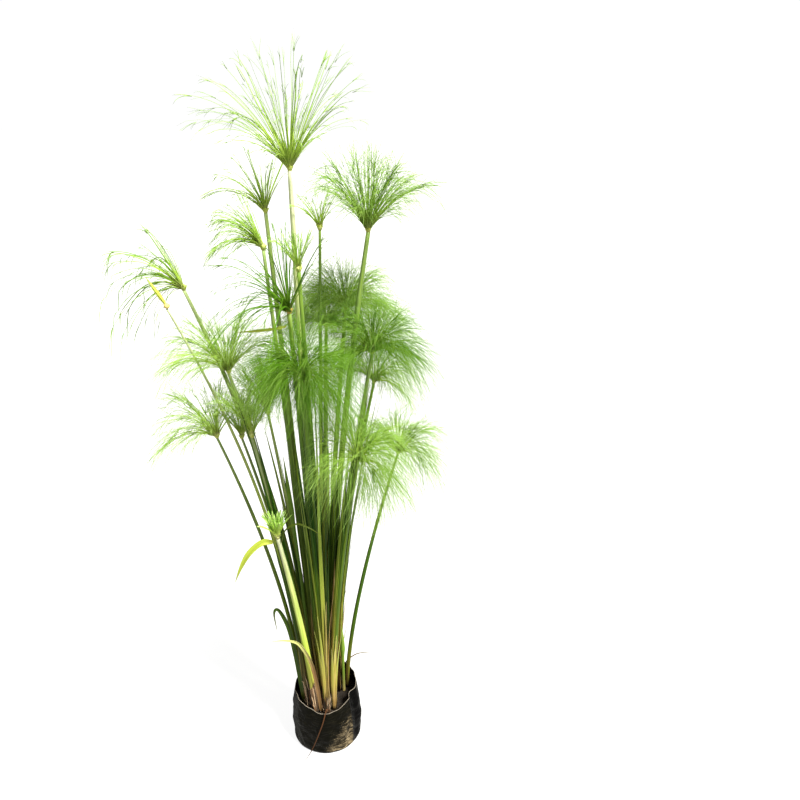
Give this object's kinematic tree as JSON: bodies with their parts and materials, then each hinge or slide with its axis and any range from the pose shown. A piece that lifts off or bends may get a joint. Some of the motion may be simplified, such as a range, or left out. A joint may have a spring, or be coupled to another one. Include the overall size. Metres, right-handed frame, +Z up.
{
  "type": "potted papyrus plant",
  "caption": "Tall papyrus clump in a black polythene planter bag: bare upright culms, each with a mop of fine arching rays on top, stand in a plug of potting mix.",
  "frame": {"origin": "middle of the planter bag's flat base, on the ground", "axes": "+Z up along the culms; -Y is the front, where the bag's rim is lowest; +X to the right seen from the front"},
  "size_m": [0.7574, 0.6831, 1.7141],
  "materials": {
    "black_polythene": "thin black film, crinkled, semi-gloss, with dried soil on it",
    "potting_mix": "dark crumbly bark and peat mix, matte",
    "culm": "smooth waxy green stem with fine lengthwise lines",
    "umbel": "thread-like green rays, satin",
    "shoot": "bright yellow-green young sheath, satin",
    "sheath": "dry papery reddish-brown, fibrous, matte",
    "green_leaf": "green blade with lengthwise veins, satin",
    "dry_leaf": "dry straw-coloured blade, matte"
  },
  "bodies": {
    "root": {"planter_bag": "black_polythene", "potting_mix": "potting_mix", "culm_01": "culm", "culm_02": "culm", "culm_03": "culm", "culm_04": "culm", "culm_05": "culm", "culm_06": "culm", "culm_07": "culm", "culm_08": "culm", "culm_09": "culm", "culm_10": "culm", "culm_11": "culm", "culm_12": "culm", "culm_13": "culm", "culm_14": "culm", "culm_15": "culm", "culm_16": "culm", "culm_17": "culm", "culm_18": "culm", "culm_19": "culm", "culm_20": "culm", "culm_21": "culm", "culm_22": "culm", "umbel_01": "umbel", "umbel_02": "umbel", "umbel_03": "umbel", "umbel_04": "umbel", "umbel_05": "umbel", "umbel_06": "umbel", "umbel_07": "umbel", "umbel_08": "umbel", "umbel_09": "umbel", "umbel_10": "umbel", "umbel_11": "umbel", "umbel_12": "umbel", "umbel_13": "umbel", "umbel_14": "umbel", "umbel_15": "umbel", "umbel_16": "umbel", "umbel_17": "umbel", "umbel_18": "umbel", "umbel_19": "umbel", "umbel_20": "umbel", "umbel_21": "umbel", "umbel_22": "umbel", "sheath_06": "sheath", "sheath_13": "sheath", "sheath_15": "sheath", "sheath_18": "sheath", "shoot_bright": "shoot", "shoot_left": "shoot", "shoot_short": "shoot", "bract_hanging": "green_leaf", "bract_arching": "green_leaf", "leaf_folded": "green_leaf", "leaf_level": "green_leaf", "leaf_bent": "dry_leaf", "strand_front": "dry_leaf", "strand_side": "dry_leaf"}
  },
  "joints": []
}
